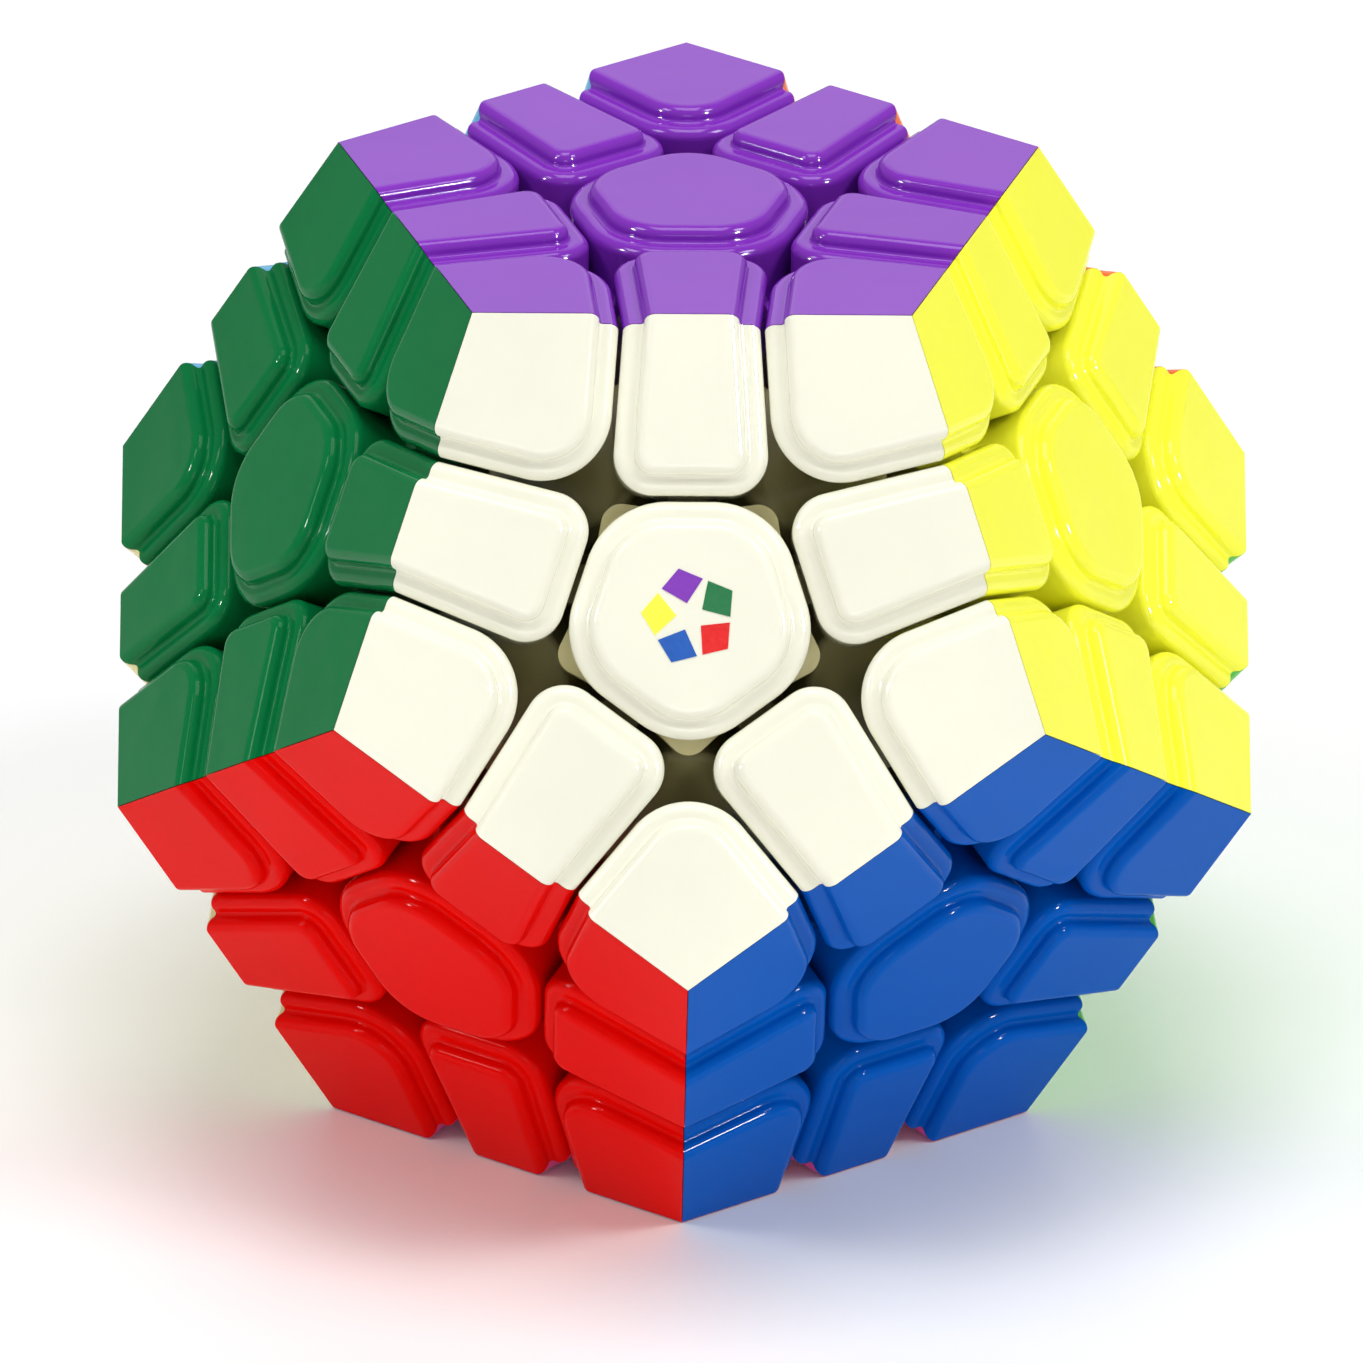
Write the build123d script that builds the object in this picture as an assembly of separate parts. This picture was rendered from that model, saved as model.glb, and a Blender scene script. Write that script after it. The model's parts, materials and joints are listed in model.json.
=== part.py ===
from build123d import *
from math import atan2, cos, degrees, pi, radians, sin, sqrt, tan
import os

# Twelve-sided twisty puzzle: a regular dodecahedron cut into centres, edges and corners.
#
# Every face turns about its own axis through the middle of the puzzle.  The pieces are held
# by feet that hook under their neighbours, and the twelve centres are held on a core by
# screws and springs.  Each kind of piece is built once, about the middle of the puzzle,
# and then turned into its places.

# ---- driving dimensions (mm) ----
EDGE = 32.0                 # length of one edge of the dodecahedron
STEP = 1.15                 # height of the raised plateau above its ledge
EDGE_TILE_REACH = 13.2      # edge piece: from the ridge to its inner end
EDGE_TILE_HALF = 4.92       # edge piece: half width at the ridge
CORNER_TILE_REACH = 10.8    # corner piece: along the ridge from the vertex
CENTRE_TILE_REACH = 8.45    # centre piece: from its axis to the middle of a side
SIDE_LEAN = 0.0698          # how far the sides open out per mm away from the ridge

# ---- regular dodecahedron ----
GOLDEN = (1 + sqrt(5)) / 2
FACE_REACH = EDGE / (2 * tan(pi / 5))                     # middle of a face to the middle of its side
FACE_CORNER = EDGE / (2 * sin(pi / 5))                    # middle of a face to its corner
IN_RADIUS = EDGE * GOLDEN ** 2 / (2 * sqrt(3 - GOLDEN))   # middle of the puzzle to a face
FACE_ANGLE = degrees(atan2(2, 1))                         # between the axes of two neighbouring faces
RIDGE_TILT = FACE_ANGLE / 2                               # face axis to the middle of an edge
VERTEX_TILT = degrees(atan2(FACE_CORNER, IN_RADIUS))      # face axis to a vertex
SIXTH = 36.0                # middle of a side to a corner of a five-sided face, in degrees
HALF_CORNER = 54.0          # half the angle at a corner of a five-sided face
NEIGHBOUR_COSINE = 0.4      # the axes of faces that share an edge are closer than this

# ---- rounding of the visible shells ----
EDGE_TILE_ROUND = 2.9
CORNER_TILE_ROUND = 5.2
CENTRE_TILE_ROUND = 6.2
OUTER_ROUND = 2.0           # the two corners of the corner piece that lie at the ridges
LEDGE_WIDTH = 1.5
PLATEAU_ROUND = 0.8         # along the top of the plateau
LEDGE_ROUND = 0.8           # along the outside of the ledge
STEP_FOOT_ROUND = 0.3       # where the plateau rises from the ledge
PAST_RIDGE = 6.0            # the outlines run this far past the ridge before they are cut there
ROOT = 0.2                  # how deep the plateau is sunk into its column before they join
SHELL_SEAM = 0.03           # each shell stands this far back from the plane between two colours

# ---- depth of the shells ----
LEDGE_LEVEL = IN_RADIUS - STEP
EDGE_COLUMN_BOTTOM = 18.0   # the columns are drawn down to here, then cut off by the sphere
CORNER_COLUMN_BOTTOM = 14.0
SHELL_BOTTOM = 25.65        # radius of the sphere that the shells stop at
SHELL_FLOOR = 27.2          # top of the floor that closes a shell around its foot
SHELL_WALL = 1.35
ROOF = 1.3
CORNER_TAPER = 3.4          # degrees that the corner shells narrow towards the middle
CENTRE_TAPER = 3.0

# ---- feet ----
FOOT_TOP = 25.35
FOOT_BOTTOM = 19.6
FOOT_ROUND = 0.6
NECK_ROOT = 1.0             # how deep a neck runs into its foot
NECK_TOP = 29.0
NECK_CLEARANCE = 0.05
CORNER_FOOT_ANGLE = 15.0
CORNER_NECK = 1.9
EDGE_FOOT_ANGLE = 20.4
EDGE_FOOT_THICKNESS = 3.0
EDGE_NECK_LENGTH = 8.0
FLANGE_WIDTH = 6.4
FLANGE_LEVEL = 27.3

# ---- centres ----
BASE_CORNER = 10.65         # the five-sided base: from its axis to a corner
BASE_REACH = 7.95           # from its axis to the middle of a hollow side
BASE_ROUND = 1.5
BASE_WALL = 1.3
BASE_BOTTOM = 25.8
BASE_FLOOR = 27.2
BASE_TOP = 29.7
CAP_BOTTOM = BASE_TOP + 0.05
CAP_WALL = 1.2
BOSS = 4.7                  # the upright in the base that the cap's socket grips
BOSS_TOP = 32.5
SOCKET_WALL = 1.0
SOCKET_LIFT = 0.5
STEM = 3.0
STEM_BOTTOM = 14.5
SPRING_BORE = 3.3
SHANK_BORE = 1.55

# ---- core, screws and springs ----
CORE_BALL = 9.0
POST = 3.0
POST_TOP = 14.3
THREAD_HOLE = 1.27
SHANK = 1.25
SCREW_BOTTOM = 7.5
HOLE_DEPTH = 0.5            # the core's hole goes this far past the end of the screw
HEAD = 2.8
HEAD_BOTTOM = 31.0
HEAD_TOP = 32.6
HEAD_ROUND = 0.5
DRIVE_LENGTH = 3.6
DRIVE_SLOT = 0.9
SPRING_RADIUS = 2.25
SPRING_WIRE = 0.32
SPRING_TURNS = 4
SPRING_CLEARANCE = 0.1

# ---- working values ----
CENTRE_OF_PUZZLE = Vector(0, 0, IN_RADIUS)
BIG = 120.0                 # larger than the whole puzzle
OVERRUN = 1.0               # cuts and joins run this far past the surface that they meet
SAME_LEVEL = 0.001
SAME_EDGE = 0.01

# ---- the twelve faces: each name and where its axis points ----
UPPER_RING = ["white", "yellow", "orange", "light_blue", "dark_green"]
LOWER_RING = ["blue", "light_green", "grey", "cream", "red"]


def ring_axis(turn, height):
    """A face axis `turn` degrees round from the front, above or below the middle."""
    tilt = radians(FACE_ANGLE)
    side = sin(tilt)
    return Vector(side * sin(radians(turn)), -side * cos(radians(turn)), height * cos(tilt))


FACES = {"purple": Vector(0, 0, 1), "pink": Vector(0, 0, -1)}
for index, name in enumerate(UPPER_RING):
    FACES[name] = ring_axis(2 * SIXTH * index, 1)
for index, name in enumerate(LOWER_RING):
    FACES[name] = ring_axis(2 * SIXTH * index + SIXTH, -1)


def neighbours(first, second):
    """Whether two different faces share an edge."""
    return first != second and FACES[first].dot(FACES[second]) > NEIGHBOUR_COSINE


def edge_pairs():
    """The thirty pairs of faces that share an edge."""
    names = list(FACES)
    return [(a, b) for i, a in enumerate(names) for b in names[i + 1:] if neighbours(a, b)]


def corner_triples():
    """The twenty triples of faces that share a vertex."""
    names = list(FACES)
    triples = []
    for first, second in edge_pairs():
        for third in names[names.index(second) + 1:]:
            if neighbours(first, third) and neighbours(second, third):
                triples.append((first, second, third))
    return triples


# ---- outlines on a face, seen from outside, with the face's middle at 0,0 ----
def edge_outline(inset, rounding):
    """The edge piece on one face: the ridge is at x = FACE_REACH, the outline runs past it."""
    end = EDGE_TILE_REACH - inset
    half_out = EDGE_TILE_HALF - SIDE_LEAN * PAST_RIDGE - inset
    half_in = EDGE_TILE_HALF + SIDE_LEAN * end - inset
    outline = Polygon(
        (FACE_REACH + PAST_RIDGE, -half_out),
        (FACE_REACH + PAST_RIDGE, half_out),
        (FACE_REACH - end, half_in),
        (FACE_REACH - end, -half_in),
        align=None,
    )
    return fillet(outline.vertices(), rounding)


def corner_outline(inset, rounding):
    """The corner piece on one face: the vertex is at x = FACE_CORNER, the outline runs past it."""
    ridge = radians(180 - HALF_CORNER)
    along = Vector(cos(ridge), sin(ridge))
    inward = Vector(-sin(ridge), cos(ridge))
    vertex = Vector(FACE_CORNER, 0)
    reach = CORNER_TILE_REACH - inset
    side = vertex + along * (reach + SIDE_LEAN * PAST_RIDGE) - inward * PAST_RIDGE
    depth = reach / (tan(radians(SIXTH)) + SIDE_LEAN)
    tip = vertex + along * (reach - SIDE_LEAN * depth) + inward * depth
    outer = FACE_CORNER + PAST_RIDGE / sin(radians(HALF_CORNER))
    outline = Polygon((outer, 0), (side.X, side.Y), (tip.X, tip.Y), (side.X, -side.Y), align=None)
    outline = fillet(outline.vertices().sort_by(Axis.X)[1:], OUTER_ROUND)
    return fillet(outline.vertices().sort_by(Axis.X)[:1], rounding)


def centre_outline(inset, rounding):
    """The centre piece: five sides, almost round, with a side facing +X."""
    radius = (CENTRE_TILE_REACH - inset) / cos(pi / 5)
    outline = RegularPolygon(radius, 5, rotation=SIXTH)
    return fillet(outline.vertices(), rounding)


def base_outline(inset, rounding):
    """The centre's base: five hollow sides, which leave room for the layers to turn."""
    corner = Vector(BASE_CORNER - inset, 0)
    hollow = Vector(BASE_REACH - inset, 0)
    sides = []
    for i in range(5):
        turn = (2 * i + 1) * SIXTH
        start = corner.rotate(Axis.Z, turn)
        middle = hollow.rotate(Axis.Z, turn + SIXTH)
        end = corner.rotate(Axis.Z, turn + 2 * SIXTH)
        sides.append(ThreePointArc(start, middle, end))
    outline = make_face(sides)
    return fillet(outline.vertices(), rounding)


# ---- frames ----
def towards_face(tilt):
    """The frame of one face, in the frame of a piece whose axis is `tilt` degrees from it."""
    slope = radians(tilt)
    return Plane((0, 0, 0), x_dir=(-cos(slope), 0, sin(slope)), z_dir=(sin(slope), 0, cos(slope)))


def towards_piece(tilt):
    """The frame of a piece, in the frame of the face whose axis is `tilt` degrees from it."""
    slope = radians(tilt)
    return Plane((0, 0, 0), x_dir=(cos(slope), 0, -sin(slope)), z_dir=(sin(slope), 0, cos(slope)))


def place(names):
    """The frame of a piece: its axis between the named faces, its first colour towards +X."""
    total = Vector(0, 0, 0)
    for name in names:
        total += FACES[name]
    axis = total.normalized()
    first = FACES[names[0]]
    return Plane(CENTRE_OF_PUZZLE, x_dir=first - axis * first.dot(axis), z_dir=axis)


def place_centre(name):
    """The frame of a centre: a side of its five-sided outline faces a neighbouring face."""
    axis = FACES[name]
    beside = next(FACES[other] for other in FACES if neighbours(name, other))
    return Plane(CENTRE_OF_PUZZLE, x_dir=beside - axis * beside.dot(axis), z_dir=axis)


# ---- shared building blocks ----
def level_edges(shape, level):
    """The edges that lie flat at one height."""
    return shape.edges().filter_by_position(Axis.Z, level - SAME_LEVEL, level + SAME_LEVEL)


def on_line(edges, line):
    """Those of the edges that lie on a given outline."""
    middles = [part.center() for part in line.edges()]
    return [e for e in edges if min((e.center() - middle).length for middle in middles) < SAME_EDGE]


def upright(radius, bottom, top):
    """An upright cylinder between two heights."""
    return Pos(0, 0, bottom) * Cylinder(radius, top - bottom, align=(Align.CENTER, Align.CENTER, Align.MIN))


def tube(inner, outer, bottom, top):
    """An upright tube between two heights."""
    return upright(outer, bottom, top) - upright(inner, bottom - OVERRUN, top + OVERRUN)


def polar_point(radius, turn):
    """A point from its distance and its angle from the first axis."""
    return (radius * cos(turn), radius * sin(turn))


def stepped_tile(outline, rounding, bottom, taper):
    """A column that ends in a ledge with a raised plateau on it, all softly rounded."""
    ledge = Pos(0, 0, LEDGE_LEVEL) * outline(0.0, rounding)
    block = extrude(ledge, LEDGE_LEVEL - bottom, dir=(0, 0, -1), taper=taper)
    block = fillet(level_edges(block, LEDGE_LEVEL), LEDGE_ROUND)
    foot_line = Pos(0, 0, LEDGE_LEVEL) * outline(LEDGE_WIDTH, rounding - LEDGE_WIDTH)
    plateau = extrude(Pos(0, 0, -ROOT) * foot_line, STEP + ROOT)
    plateau = fillet(level_edges(plateau, IN_RADIUS), PLATEAU_ROUND)
    tile = block + plateau
    return fillet(on_line(level_edges(tile, LEDGE_LEVEL), foot_line), STEP_FOOT_ROUND)


def room_under(outline, rounding, wall, bottom, taper):
    """The hollow inside a stepped tile, which leaves a wall and a roof."""
    roof_line = Pos(0, 0, LEDGE_LEVEL - ROOF) * outline(wall, rounding - wall)
    return extrude(roof_line, LEDGE_LEVEL - ROOF - bottom, dir=(0, 0, -1), taper=taper)


def beyond_seam(turn):
    """All that lies past the plane between two colours, for the side that faces `turn`."""
    side = Vector(1, 0).rotate(Axis.Z, turn)
    tilt = radians(RIDGE_TILT)
    away = side * cos(tilt) - Vector(0, 0, sin(tilt))
    half_space = Box(BIG, BIG, BIG, align=(Align.CENTER, Align.CENTER, Align.MIN))
    return Plane(away * -SHELL_SEAM, z_dir=away) * half_space


def hollow_shell(outline, rounding, bottom, taper, turns, neck):
    """One colour of a piece: a stepped tile, open towards the other colours and hollow inside."""
    tile = stepped_tile(outline, rounding, bottom, taper)
    room = room_under(outline, rounding, SHELL_WALL, bottom, taper)
    shell = tile - (room - Sphere(SHELL_FLOOR)) - Sphere(SHELL_BOTTOM) - neck
    for turn in turns:
        shell -= beyond_seam(turn)
    return shell.solid()


# ---- edge piece: its axis is +Z, its ridge runs along Y, its first colour faces +X ----
def edge_foot():
    """The blade that hooks under two centres, its neck, and the flange inside the shells."""
    half = radians(EDGE_FOOT_ANGLE)
    sector = make_face([
        Line(polar_point(FOOT_BOTTOM, half), polar_point(FOOT_TOP, half)),
        ThreePointArc(polar_point(FOOT_TOP, half), (FOOT_TOP, 0), polar_point(FOOT_TOP, -half)),
        Line(polar_point(FOOT_TOP, -half), polar_point(FOOT_BOTTOM, -half)),
        ThreePointArc(polar_point(FOOT_BOTTOM, -half), (FOOT_BOTTOM, 0), polar_point(FOOT_BOTTOM, half)),
    ])
    blade = extrude(sector, EDGE_FOOT_THICKNESS / 2, both=True)
    blade = Plane((0, 0, 0), x_dir=(0, 0, 1), z_dir=(0, 1, 0)) * blade
    blade = fillet(blade.edges().group_by(Axis.Z)[0] + blade.edges().filter_by(Axis.Y), FOOT_ROUND)
    neck_height = NECK_TOP - FOOT_TOP + NECK_ROOT
    standing = (Align.CENTER, Align.CENTER, Align.MIN)
    neck = Box(EDGE_NECK_LENGTH, EDGE_FOOT_THICKNESS, neck_height, align=standing)
    flange = extrude(SlotOverall(EDGE_NECK_LENGTH, FLANGE_WIDTH), NECK_TOP - FLANGE_LEVEL)
    return (blade + Pos(0, 0, FOOT_TOP - NECK_ROOT) * neck + Pos(0, 0, FLANGE_LEVEL) * flange).solid()


def edge_piece():
    """Two coloured shells and a foot."""
    length = EDGE_NECK_LENGTH + 2 * NECK_CLEARANCE
    thickness = EDGE_FOOT_THICKNESS + 2 * NECK_CLEARANCE
    neck = towards_piece(RIDGE_TILT) * Box(length, thickness, 2 * FLANGE_LEVEL)
    shell = hollow_shell(edge_outline, EDGE_TILE_ROUND, EDGE_COLUMN_BOTTOM, 0.0, [0], neck)
    first = towards_face(RIDGE_TILT) * shell
    return [first, Rot(0, 0, 180) * first, edge_foot()]


# ---- corner piece: its axis is +Z, its first colour faces +X ----
def corner_foot():
    """The round foot that hooks under three edges, and its neck."""
    side = pi / 2 - radians(CORNER_FOOT_ANGLE)
    halfway = pi / 2 - radians(CORNER_FOOT_ANGLE / 2)
    section = make_face([
        Line((0, FOOT_BOTTOM), (0, FOOT_TOP)),
        ThreePointArc((0, FOOT_TOP), polar_point(FOOT_TOP, halfway), polar_point(FOOT_TOP, side)),
        Line(polar_point(FOOT_TOP, side), polar_point(FOOT_BOTTOM, side)),
        ThreePointArc(polar_point(FOOT_BOTTOM, side), polar_point(FOOT_BOTTOM, halfway), (0, FOOT_BOTTOM)),
    ])
    foot = revolve(Plane.XZ * section, Axis.Z)
    foot = fillet(foot.edges().filter_by(GeomType.CIRCLE), FOOT_ROUND)
    return (foot + upright(CORNER_NECK, FOOT_TOP - NECK_ROOT, NECK_TOP)).solid()


def corner_piece():
    """Three coloured shells and a foot."""
    neck = towards_piece(VERTEX_TILT) * Cylinder(CORNER_NECK + NECK_CLEARANCE, 2 * NECK_TOP)
    ridges = [SIXTH, -SIXTH]
    shell = hollow_shell(corner_outline, CORNER_TILE_ROUND, CORNER_COLUMN_BOTTOM, CORNER_TAPER, ridges, neck)
    first = towards_face(VERTEX_TILT) * shell
    return [Rot(0, 0, 120 * turn) * first for turn in range(3)] + [corner_foot()]


# ---- centre piece: its axis is +Z ----
def centre_cap():
    """The coloured cap, hollow, with a socket that grips the boss of the body."""
    tile = stepped_tile(centre_outline, CENTRE_TILE_ROUND, CAP_BOTTOM, CENTRE_TAPER)
    room = room_under(centre_outline, CENTRE_TILE_ROUND, CAP_WALL, CAP_BOTTOM, CENTRE_TAPER)
    grip = BOSS + NECK_CLEARANCE
    socket = tube(grip, grip + SOCKET_WALL, CAP_BOTTOM + SOCKET_LIFT, LEDGE_LEVEL)
    return (tile - (room - socket)).solid()


def centre_body():
    """The five-sided base with its stem, its boss, and the bore for the spring and the screw."""
    body = Pos(0, 0, BASE_BOTTOM) * extrude(base_outline(0, BASE_ROUND), BASE_TOP - BASE_BOTTOM)
    body -= Pos(0, 0, BASE_FLOOR) * extrude(base_outline(BASE_WALL, BASE_ROUND), BIG)
    body += upright(BOSS, BASE_BOTTOM, BOSS_TOP)
    body += upright(STEM, STEM_BOTTOM, BASE_BOTTOM + OVERRUN)
    body -= upright(SPRING_BORE, BASE_FLOOR, BOSS_TOP + OVERRUN)
    body -= upright(SHANK_BORE, STEM_BOTTOM - OVERRUN, BASE_FLOOR + OVERRUN)
    return body.solid()


# ---- what holds the puzzle together ----
def core():
    """A ball with twelve posts, each with a hole for a screw."""
    body = Sphere(CORE_BALL)
    for axis in FACES.values():
        body += Plane((0, 0, 0), z_dir=axis) * upright(POST, 0, POST_TOP)
    for axis in FACES.values():
        hole = upright(THREAD_HOLE, SCREW_BOTTOM - HOLE_DEPTH, POST_TOP + OVERRUN)
        body -= Plane((0, 0, 0), z_dir=axis) * hole
    return body.solid()


def tension_screw():
    """A pan head screw with a crossed drive."""
    screw = upright(SHANK, SCREW_BOTTOM, HEAD_TOP) + upright(HEAD, HEAD_BOTTOM, HEAD_TOP)
    screw = fillet(screw.edges().group_by(Axis.Z)[-1], HEAD_ROUND)
    screw = chamfer(screw.edges().group_by(Axis.Z)[0], SHANK / 3)
    for turn in (0, 90):
        screw -= Pos(0, 0, HEAD_TOP) * Rot(0, 0, turn) * Box(DRIVE_LENGTH, DRIVE_SLOT, DRIVE_SLOT)
    return screw.solid()


def tension_spring():
    """A coil spring between the floor of the centre's bore and the head of the screw."""
    bottom = BASE_FLOOR + SPRING_WIRE + SPRING_CLEARANCE
    height = HEAD_BOTTOM - SPRING_WIRE - SPRING_CLEARANCE - bottom
    path = Pos(0, 0, bottom) * Helix(height / SPRING_TURNS, height, SPRING_RADIUS)
    section = Plane(path @ 0, z_dir=path % 0) * Circle(SPRING_WIRE)
    return sweep(section, path=path, is_frenet=True).solid()


# ---- nodes ----
def write(node, frame, solids):
    """Write one node: solids that stay separate, all moved into the same frame."""
    placed = [frame * solid for solid in solids]
    export_step(Compound(children=placed), f"parts/{node}.step")


def write_mechanism():
    """The core, and the twelve screws and springs that hold the centres on it."""
    write("core", Location(CENTRE_OF_PUZZLE), [core()])
    screw = tension_screw()
    spring = tension_spring()
    write("tension_screws", Location(), [place_centre(name) * screw for name in FACES])
    write("tension_springs", Location(), [place_centre(name) * spring for name in FACES])


def write_centres():
    """Twelve nodes, each a cap and its body."""
    centre = [centre_cap(), centre_body()]
    for name in FACES:
        write(f"centre_{name}", place_centre(name), centre)


def write_edges_and_corners():
    """Thirty edges and fifteen corners; the five corners at the pink face go with an edge."""
    edge = edge_piece()
    corner = corner_piece()
    for pair in edge_pairs():
        name = "edge_{}_{}".format(*pair)
        solids = [place(pair) * solid for solid in edge]
        if neighbours(pair[0], "pink") and neighbours(pair[1], "pink"):
            name += "_with_corner_pink"
            solids += [place((*pair, "pink")) * solid for solid in corner]
        write(name, Location(), solids)
    for triple in corner_triples():
        if "pink" not in triple:
            write("corner_{}_{}_{}".format(*triple), place(triple), corner)


def main():
    os.makedirs("parts", exist_ok=True)
    write_mechanism()
    write_centres()
    write_edges_and_corners()


main()
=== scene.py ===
import bpy
import bmesh
import json
import numpy as np
from math import cos, pi, radians, sin
from mathutils import Matrix, Vector


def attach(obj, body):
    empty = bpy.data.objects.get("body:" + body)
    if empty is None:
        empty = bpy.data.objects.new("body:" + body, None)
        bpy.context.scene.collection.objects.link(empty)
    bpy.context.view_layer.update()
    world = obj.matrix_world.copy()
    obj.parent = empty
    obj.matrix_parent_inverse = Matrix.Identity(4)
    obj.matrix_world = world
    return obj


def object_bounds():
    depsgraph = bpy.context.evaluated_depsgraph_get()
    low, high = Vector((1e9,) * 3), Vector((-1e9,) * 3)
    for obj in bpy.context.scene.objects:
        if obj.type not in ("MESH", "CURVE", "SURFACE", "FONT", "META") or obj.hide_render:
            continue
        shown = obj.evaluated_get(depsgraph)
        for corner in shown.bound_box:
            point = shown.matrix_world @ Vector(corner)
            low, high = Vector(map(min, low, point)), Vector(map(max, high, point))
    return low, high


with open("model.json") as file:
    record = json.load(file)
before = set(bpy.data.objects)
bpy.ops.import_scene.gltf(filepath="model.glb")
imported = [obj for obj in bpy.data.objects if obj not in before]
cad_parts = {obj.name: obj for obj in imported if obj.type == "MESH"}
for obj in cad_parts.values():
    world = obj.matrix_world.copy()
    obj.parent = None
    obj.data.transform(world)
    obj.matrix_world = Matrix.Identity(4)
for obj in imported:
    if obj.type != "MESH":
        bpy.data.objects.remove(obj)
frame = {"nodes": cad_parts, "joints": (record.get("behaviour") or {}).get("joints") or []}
cad_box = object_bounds()

# Looks of the twelve-sided twisty puzzle: glossy moulded plastic in twelve colours.
# Every node of the frame keeps its own mesh. Its separate solids are told apart, and each gets the plastic of
# the face that it lies under, the satin plastic of the hidden parts, or steel. Lengths are in metres.

# ---- the puzzle, read from the frame ----
LAYER = "layer_"
LAYER_JOINTS = [joint for joint in frame["joints"] if joint["child"].startswith(LAYER)]
AXES = {joint["child"][len(LAYER):]: Vector(joint["axis"]) for joint in LAYER_JOINTS}
AXES["pink"] = Vector((0, 0, -1))    # the face that it stands on has no joint
MIDDLE = Vector(LAYER_JOINTS[0]["pos_m"])
IN_RADIUS = MIDDLE.z
FOOT_REACH = 0.84 * IN_RADIUS       # the feet and their necks stay inside this radius
BODY_REACH = 0.95 * IN_RADIUS       # the bodies under the centre caps stay inside this one
STEPS_PER_METRE = 1e7               # corners that round to the same steps are one

# ---- colours, as seen in daylight (sRGB) ----
COLOURS = {
    "white": (242, 241, 223),
    "purple": (129, 45, 184),
    "dark_green": (7, 118, 62),
    "yellow": (255, 255, 66),
    "red": (230, 6, 2),
    "blue": (0, 88, 184),
    "orange": (250, 120, 34),
    "light_blue": (110, 196, 236),
    "grey": (150, 152, 154),
    "cream": (247, 238, 184),
    "light_green": (92, 208, 76),
    "pink": (240, 96, 168),
}
BODY_COLOURS_WITH_PAINTED_SHADE = {**COLOURS, "white": (222, 212, 160)}        # the bases under the caps; the white one is darker and yellower than the white caps, as painted shade and painted warm bounce light of its recess
FOOT_COLOUR = (205, 196, 140)
STEEL_COLOUR = (196, 198, 202)
FLOOR_COLOUR = (252, 252, 252)

# ---- finish ----
USUAL_SHINE = 0.36
DULLER_SHINES = {"red": 0.06, "blue": 0.06, "dark_green": 0.1}  # these mirror less of their surroundings
PAINT_SHINE = 0.15
POLISHED = (0.07, 0.13)     # roughness, from the smoothest places to the most scuffed
SATIN = (0.38, 0.52)
DRAWN_STEEL = (0.22, 0.42)
DRY_INK = (0.3, 0.42)
PAINT_ROUGHNESS = 0.6
NOISE_SPAN = (0.3, 0.7)     # nearly all of a noise lies between these
SINK_DEPTH = 0.00006        # how far moulded walls sink as they cool
SCUFF_DEPTH = 0.0000015
GRAIN_DEPTH = 0.000008
DRAWING_DEPTH = 0.000004

# ---- emblem on the white centre ----
EMBLEM_RADIUS = 0.0036
EMBLEM_HOLE = 0.28 * EMBLEM_RADIUS
EMBLEM_THICKNESS = 0.00005
EMBLEM_TURN = radians(14)   # it sits a little askew
EMBLEM_GAP = 0.07           # radians of white on each side of a wedge
EMBLEM_WEDGES = ["purple", "yellow", "blue", "red", "dark_green"]

# ---- stage ----
FLOOR_HALF_WIDTH = 6.0
FLOOR_DROP = 0.0001         # keeps the table top clear of the face that stands on it
DAYLIGHT = 0.36

# ---- view ----
VIEW_TURN = -0.77           # degrees round from the front
VIEW_RISE = 25.25           # degrees above the table
VIEW_ROLL = 0.69
VIEW_DISTANCE = 1.664
VIEW_WIDTH = 0.1012         # what the picture takes in, at the puzzle's distance
VIEW_RIGHT = -0.0002        # where the camera aims, from the middle of the puzzle
VIEW_UP = -0.0039
SENSOR = 36.0               # millimetres
FAR_LIMIT = 20


def linear(colour):
    """An sRGB colour of 0 to 255 as linear light."""
    channels = []
    for value in colour:
        share = value / 255
        channels.append(share / 12.92 if share <= 0.04045 else ((share + 0.055) / 1.055) ** 2.4)
    return (*channels, 1.0)


# ---- node helpers ----
def new_material(name):
    """A material with only its shader, together with its node tree and that shader."""
    material = bpy.data.materials.new(name)
    material.use_nodes = True
    tree = material.node_tree
    tree.nodes.clear()
    shader = tree.nodes.new("ShaderNodeBsdfPrincipled")
    output = tree.nodes.new("ShaderNodeOutputMaterial")
    tree.links.new(shader.outputs["BSDF"], output.inputs["Surface"])
    return material, tree, shader


def noise(tree, scale, detail=4.0, roughness=0.5, stretch=(1, 1, 1)):
    """A noise in the object's own space, scale in features to the metre."""
    place = tree.nodes.new("ShaderNodeTexCoord")
    mapping = tree.nodes.new("ShaderNodeMapping")
    mapping.inputs["Scale"].default_value = stretch
    texture = tree.nodes.new("ShaderNodeTexNoise")
    texture.inputs["Scale"].default_value = scale
    texture.inputs["Detail"].default_value = detail
    texture.inputs["Roughness"].default_value = roughness
    tree.links.new(place.outputs["Object"], mapping.inputs["Vector"])
    tree.links.new(mapping.outputs["Vector"], texture.inputs["Vector"])
    return texture.outputs["Fac"]


def between(tree, value, low, high):
    """A noise value, spread from low to high."""
    spread = tree.nodes.new("ShaderNodeMapRange")
    spread.inputs["From Min"].default_value = NOISE_SPAN[0]
    spread.inputs["From Max"].default_value = NOISE_SPAN[1]
    spread.inputs["To Min"].default_value = low
    spread.inputs["To Max"].default_value = high
    tree.links.new(value, spread.inputs["Value"])
    return spread.outputs["Result"]


def shaded(colour, factor):
    """A linear colour made lighter or darker."""
    return (*(min(1.0, channel * factor) for channel in colour[:3]), 1.0)


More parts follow.
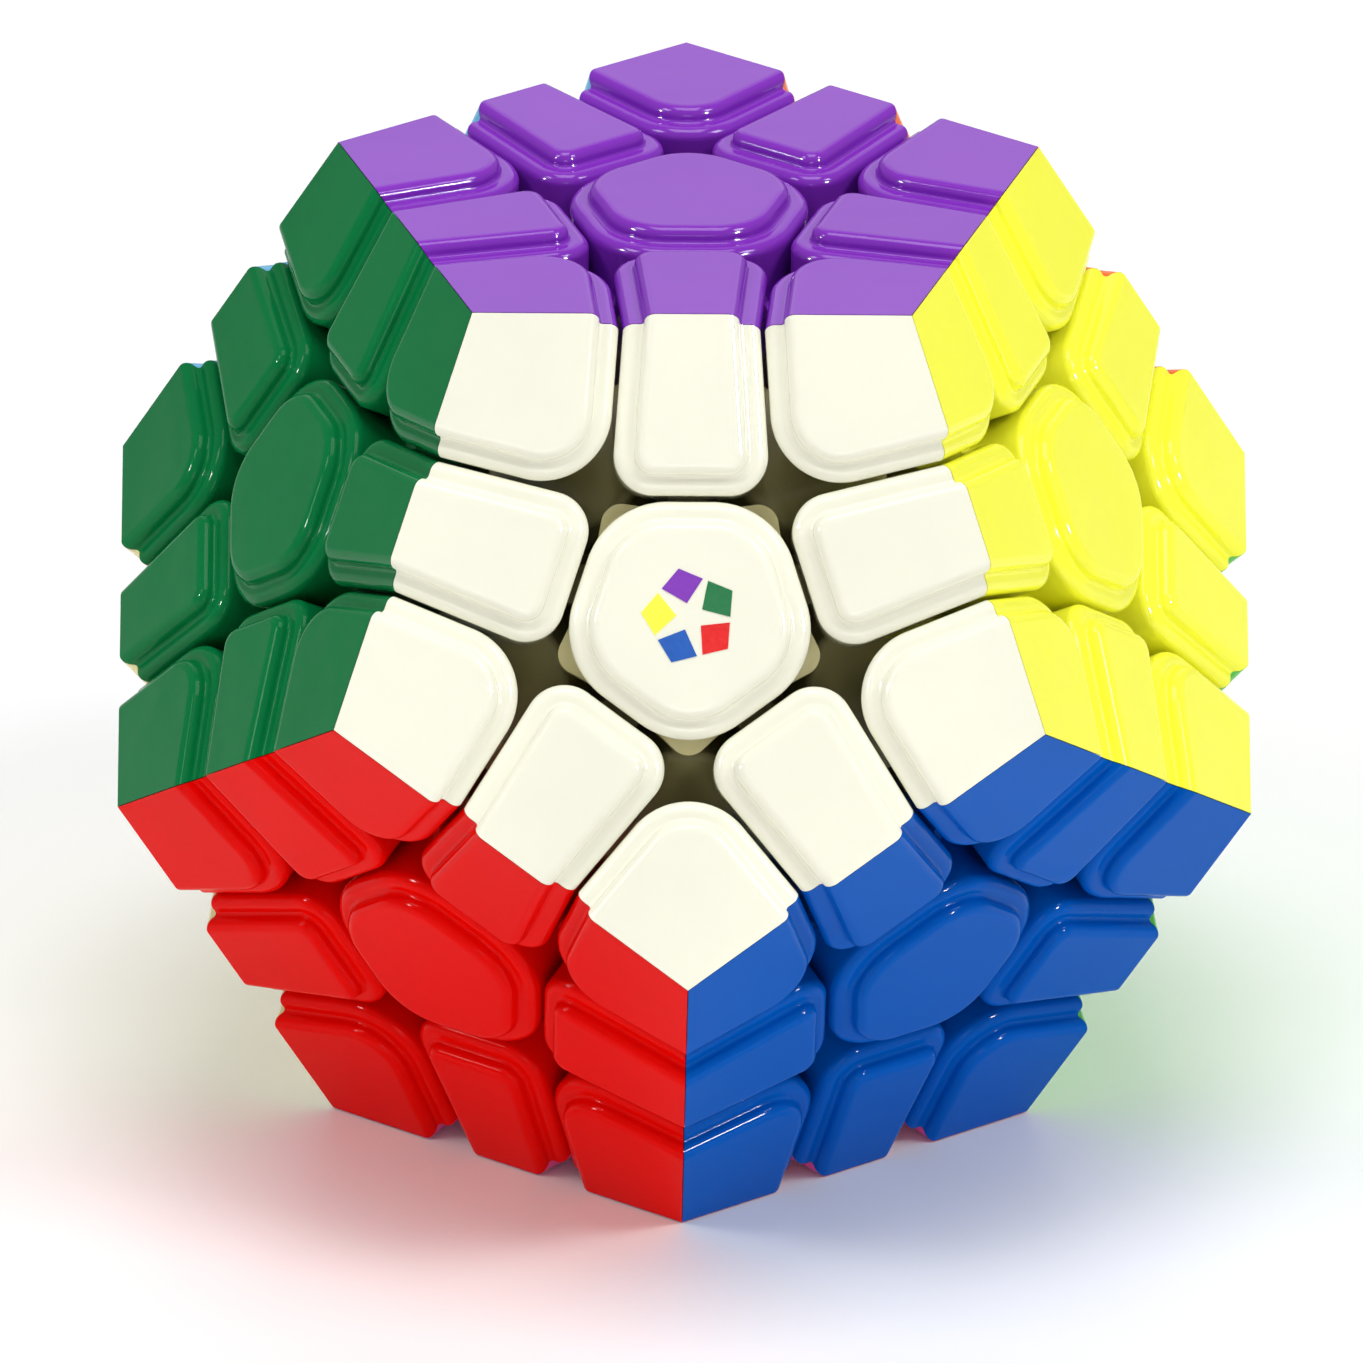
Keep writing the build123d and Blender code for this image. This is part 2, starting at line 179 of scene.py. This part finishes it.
def mottled(tree, shader, value, colour, darkest, lightest):
    """Give the shader a colour that wanders between two tones, each a factor of the colour itself."""
    mix = tree.nodes.new("ShaderNodeMix")
    mix.data_type = "RGBA"
    tree.links.new(between(tree, value, 0.0, 1.0), mix.inputs["Factor"])
    mix.inputs["A"].default_value = shaded(linear(colour), darkest)
    mix.inputs["B"].default_value = shaded(linear(colour), lightest)
    tree.links.new(mix.outputs["Result"], shader.inputs["Base Color"])


def uneven_gloss(tree, shader, value, roughness):
    """Give the shader a roughness that wanders between the two given."""
    smoothest, roughest = roughness
    tree.links.new(between(tree, value, smoothest, roughest), shader.inputs["Roughness"])


def bump(tree, shader, heights):
    """Small unevenness: a list of (height, depth in metres), one on another."""
    normal = None
    for height, depth in heights:
        node = tree.nodes.new("ShaderNodeBump")
        node.inputs["Strength"].default_value = 1.0
        node.inputs["Distance"].default_value = depth
        tree.links.new(height, node.inputs["Height"])
        if normal is not None:
            tree.links.new(normal, node.inputs["Normal"])
        normal = node.outputs["Normal"]
    tree.links.new(normal, shader.inputs["Normal"])


# ---- materials ----
def glossy_plastic(name, colour, shine):
    """Polished moulding: faint flow marks in the colour, sunken walls, hairline scuffs in the gloss."""
    material, tree, shader = new_material(name)
    mottled(tree, shader, noise(tree, scale=60, detail=3.0), colour, darkest=0.96, lightest=1.03)
    scuffs = noise(tree, scale=900, detail=6.0, roughness=0.65, stretch=(1, 0.25, 1))
    uneven_gloss(tree, shader, scuffs, POLISHED)
    shader.inputs["Specular IOR Level"].default_value = shine
    sink = noise(tree, scale=130, detail=2.0)
    bump(tree, shader, [(sink, SINK_DEPTH), (scuffs, SCUFF_DEPTH)])
    return material


def satin_plastic(name, colour):
    """Unpolished moulding with a fine spark-eroded grain."""
    material, tree, shader = new_material(name)
    mottled(tree, shader, noise(tree, scale=90, detail=3.0), colour, darkest=0.85, lightest=1.2)
    grain = noise(tree, scale=4000, detail=2.0)
    uneven_gloss(tree, shader, grain, SATIN)
    bump(tree, shader, [(grain, GRAIN_DEPTH)])
    return material


def steel(name, colour):
    """Zinc plated steel with fine drawing marks."""
    material, tree, shader = new_material(name)
    mottled(tree, shader, noise(tree, scale=200), colour, darkest=0.8, lightest=1.0)
    marks = noise(tree, scale=3000, detail=3.0, roughness=0.6, stretch=(1, 1, 0.1))
    uneven_gloss(tree, shader, marks, DRAWN_STEEL)
    shader.inputs["Metallic"].default_value = 1.0
    bump(tree, shader, [(marks, DRAWING_DEPTH)])
    return material


def ink(name, colour):
    """Thin pad printing ink, duller than the plastic under it."""
    material, tree, shader = new_material(name)
    mottled(tree, shader, noise(tree, scale=2500, detail=3.0), colour, darkest=0.9, lightest=1.0)
    uneven_gloss(tree, shader, noise(tree, scale=5000, detail=2.0), DRY_INK)
    return material


def table_paint(name, colour):
    """Matt pale paint."""
    material, tree, shader = new_material(name)
    mottled(tree, shader, noise(tree, scale=8), colour, darkest=0.99, lightest=1.0)
    shader.inputs["Roughness"].default_value = PAINT_ROUGHNESS
    shader.inputs["Specular IOR Level"].default_value = PAINT_SHINE
    return material


def shine_of(name):
    """How strongly the plastic of a colour mirrors its surroundings."""
    return DULLER_SHINES.get(name, USUAL_SHINE)


PLASTIC = {
    name: glossy_plastic(f"plastic_{name}", colour, shine_of(name))
    for name, colour in COLOURS.items()
}
BODY = {name: satin_plastic(f"body_{name}", colour) for name, colour in BODY_COLOURS_WITH_PAINTED_SHADE.items()}
FOOT = satin_plastic("foot_plastic", FOOT_COLOUR)
STEEL = steel("zinc_plated_steel", STEEL_COLOUR)


# ---- the pieces of a node ----
def solids_of(mesh):
    """For each triangle of a mesh, the number of the separate solid that it belongs to."""
    points = np.zeros(len(mesh.vertices) * 3, np.float32)
    mesh.vertices.foreach_get("co", points)
    places = np.round(points.reshape(-1, 3) * STEPS_PER_METRE).astype(np.int64)
    _, joined = np.unique(places, axis=0, return_inverse=True)
    corners = np.zeros(len(mesh.loops), np.int32)
    mesh.loops.foreach_get("vertex_index", corners)
    triangles = joined.reshape(-1)[corners.reshape(-1, 3)]
    label = np.arange(joined.max() + 1)
    while True:
        # each place takes the lowest label of the triangles around it, until none changes
        lowest = label[triangles].min(axis=1)
        new = label.copy()
        for side in range(3):
            np.minimum.at(new, triangles[:, side], lowest)
        new = new[new]
        if np.array_equal(new, label):
            return label[triangles[:, 0]]
        label = new


def colour_node(node, names):
    """Give each solid of a node its own plastic, by the face that it lies under."""
    mesh = node.data
    solids = solids_of(mesh)
    centres = np.zeros(len(mesh.polygons) * 3, np.float32)
    mesh.polygons.foreach_get("center", centres)
    centres = centres.reshape(-1, 3) - np.array(MIDDLE)
    reach = np.linalg.norm(centres, axis=1)
    is_centre = len(names) == 1
    hidden_reach = BODY_REACH if is_centre else FOOT_REACH
    mesh.materials.clear()
    for name in names:
        mesh.materials.append(PLASTIC[name])
    mesh.materials.append(BODY[names[0]] if is_centre else FOOT)
    chosen = np.zeros(len(centres), np.int32)
    for solid in np.unique(solids):
        mine = solids == solid
        if reach[mine].max() < hidden_reach:
            chosen[mine] = len(names)
        else:
            middle = centres[mine].mean(axis=0)
            chosen[mine] = np.argmax([np.dot(middle, AXES[name]) for name in names])
    mesh.polygons.foreach_set("material_index", chosen)
    mesh.update()


def faces_of(node_name):
    """The colours in a node's name; the longer names first, as "blue" is also in "light_blue"."""
    found = []
    rest = node_name
    for name in sorted(COLOURS, key=len, reverse=True):
        if name in rest:
            found.append(name)
            rest = rest.replace(name, "")
    return found


def whole_node(node, material):
    """One material for all of a node."""
    node.data.materials.clear()
    node.data.materials.append(material)


def colour_nodes():
    """Materials for everything that the frame holds."""
    for node_name, node in frame["nodes"].items():
        if node_name == "core":
            whole_node(node, FOOT)
        elif node_name.startswith("tension"):
            whole_node(node, STEEL)
        else:
            colour_node(node, faces_of(node_name))


# ---- the emblem ----
def polar(radius, angle):
    """A point of the emblem's own plane."""
    return radius * cos(angle), radius * sin(angle)


def wedge_outline(index):
    """One kite of the emblem's five-sided wheel."""
    middle = 2 * pi * index / len(EMBLEM_WEDGES) + pi / 2 + EMBLEM_TURN
    half = pi / len(EMBLEM_WEDGES)
    flat = EMBLEM_RADIUS * cos(half)
    return [
        polar(EMBLEM_HOLE, middle),
        polar(flat, middle - half + EMBLEM_GAP),
        polar(EMBLEM_RADIUS, middle),
        polar(flat, middle + half - EMBLEM_GAP),
    ]


def on_white_centre(point, height):
    """A point of the emblem's plane, height above the plateau of the white centre."""
    axis = AXES["white"]
    across = Vector((1, 0, 0))
    up = axis.cross(across)
    return MIDDLE + axis * (IN_RADIUS + height) + across * point[0] + up * point[1]


def emblem():
    """A small five-sided colour wheel, one wedge for each of five faces."""
    mesh = bpy.data.meshes.new("emblem_white_centre")
    shape = bmesh.new()
    for index in range(len(EMBLEM_WEDGES)):
        outline = wedge_outline(index)
        low = [shape.verts.new(on_white_centre(point, 0.0)) for point in outline]
        high = [shape.verts.new(on_white_centre(point, EMBLEM_THICKNESS)) for point in outline]
        faces = [shape.faces.new(high), shape.faces.new(low[::-1])]
        for i in range(len(outline)):
            j = (i + 1) % len(outline)
            faces.append(shape.faces.new((low[i], low[j], high[j], high[i])))
        for face in faces:
            face.material_index = index
    shape.to_mesh(mesh)
    shape.free()
    for name in EMBLEM_WEDGES:
        mesh.materials.append(ink(f"ink_{name}", COLOURS[name]))
    wheel = bpy.data.objects.new("emblem_white_centre", mesh)
    bpy.context.scene.collection.objects.link(wheel)
    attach(wheel, "layer_white")


# ---- stage, lights and camera ----
def floor():
    """A pale table top."""
    mesh = bpy.data.meshes.new("table_top")
    shape = bmesh.new()
    bmesh.ops.create_grid(shape, x_segments=2, y_segments=2, size=FLOOR_HALF_WIDTH)
    shape.to_mesh(mesh)
    shape.free()
    mesh.materials.append(table_paint("table_paint", FLOOR_COLOUR))
    table = bpy.data.objects.new("table_top", mesh)
    bpy.context.scene.collection.objects.link(table)
    table.location = (0, 0, cad_box[0][2] - FLOOR_DROP)


def daylight(strength):
    """Even light from all round."""
    world = bpy.data.worlds.new("studio")
    bpy.context.scene.world = world
    world.use_nodes = True
    background = world.node_tree.nodes["Background"]
    background.inputs["Color"].default_value = (1.0, 1.0, 1.0, 1.0)
    background.inputs["Strength"].default_value = strength


def direction(turn, rise):
    """From the puzzle outwards: turn degrees round from the front, rise degrees up."""
    turn = radians(turn)
    rise = radians(rise)
    return Vector((sin(turn) * cos(rise), -cos(turn) * cos(rise), sin(rise)))


def softbox(name, turn, rise, distance, size, power):
    """A square light that looks at the puzzle."""
    data = bpy.data.lights.new(name, "AREA")
    data.shape = "SQUARE"
    data.size = size
    data.energy = power
    lamp = bpy.data.objects.new(name, data)
    bpy.context.scene.collection.objects.link(lamp)
    away = direction(turn, rise)
    lamp.location = MIDDLE + away * distance
    lamp.rotation_euler = away.to_track_quat("Z", "Y").to_euler()
    return lamp


def glint(name, turn, rise, distance, size, power):
    """A small light that only shows as a highlight in glossy edges."""
    lamp = softbox(name, turn, rise, distance, size, power)
    lamp.visible_diffuse = False


def lights():
    """Soft light from behind, above and in front, a small light high on each side, and two low glints."""
    daylight(DAYLIGHT)
    softbox("back_light", turn=178, rise=35, distance=1.2, size=1.0, power=2.3)
    softbox("top_light", turn=0, rise=84, distance=1.1, size=0.6, power=5.2)
    softbox("low_light", turn=0, rise=6, distance=1.2, size=0.4, power=1.6)
    softbox("left_light", turn=-62, rise=48, distance=1.0, size=0.25, power=1.7)
    softbox("right_light", turn=62, rise=48, distance=1.0, size=0.25, power=2.8)
    glint("left_glint", turn=-66, rise=25, distance=1.0, size=0.1, power=7)
    glint("right_glint", turn=47, rise=25, distance=1.0, size=0.1, power=14)


def camera():
    """A long lens from the front, a little above."""
    data = bpy.data.cameras.new("camera")
    data.sensor_width = SENSOR
    data.lens = SENSOR * VIEW_DISTANCE / VIEW_WIDTH
    data.clip_end = FAR_LIMIT
    eye = bpy.data.objects.new("camera", data)
    bpy.context.scene.collection.objects.link(eye)
    away = direction(VIEW_TURN, VIEW_RISE)
    turned = away.to_track_quat("Z", "Y").to_matrix() @ Matrix.Rotation(radians(VIEW_ROLL), 3, "Z")
    aim = MIDDLE + turned @ Vector((VIEW_RIGHT, VIEW_UP, 0))
    eye.matrix_world = Matrix.Translation(aim + away * VIEW_DISTANCE) @ turned.to_4x4()
    bpy.context.scene.camera = eye


colour_nodes()
emblem()
floor()
lights()
camera()
bpy.context.scene.view_settings.view_transform = "Standard"
